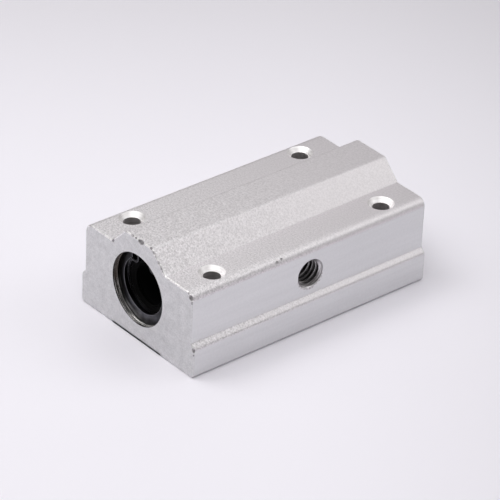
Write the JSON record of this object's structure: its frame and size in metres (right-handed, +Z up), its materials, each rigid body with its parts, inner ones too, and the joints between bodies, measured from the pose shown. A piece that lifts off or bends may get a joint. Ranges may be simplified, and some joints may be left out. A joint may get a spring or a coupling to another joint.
{
  "type": "linear bearing block",
  "caption": "Long aluminium pillow block that carries recirculating ball bushings for a round shaft, with corner screw holes and a tapped side port.",
  "frame": {"origin": "middle of the mounting face, which the block rests on, halfway along its length and under the shaft axis", "axes": "+Y along the shaft axis, +Z up from the mounting face, +X across the block towards the tapped side port"},
  "size_m": [0.034, 0.058, 0.022],
  "materials": {
    "housing": "fine sandblasted, clear anodised",
    "circlip": "blackened spring steel",
    "sleeve": "ground bearing steel",
    "cage": "moulded black plastic",
    "balls": "polished bearing steel",
    "seal": "black rubber"
  },
  "bodies": {
    "root": {"housing": "housing", "front_circlip": "circlip", "front_bushing_sleeve": "sleeve", "front_ball_cage": "cage", "front_ball_circuit_1": "balls", "front_ball_circuit_2": "balls", "front_ball_circuit_3": "balls", "front_ball_circuit_4": "balls", "front_outer_seal": "seal", "front_inner_seal": "seal", "rear_circlip": "circlip", "rear_bushing_sleeve": "sleeve", "rear_ball_cage": "cage", "rear_ball_circuit_1": "balls", "rear_ball_circuit_2": "balls", "rear_ball_circuit_3": "balls", "rear_ball_circuit_4": "balls", "rear_outer_seal": "seal", "rear_inner_seal": "seal"}
  },
  "joints": []
}
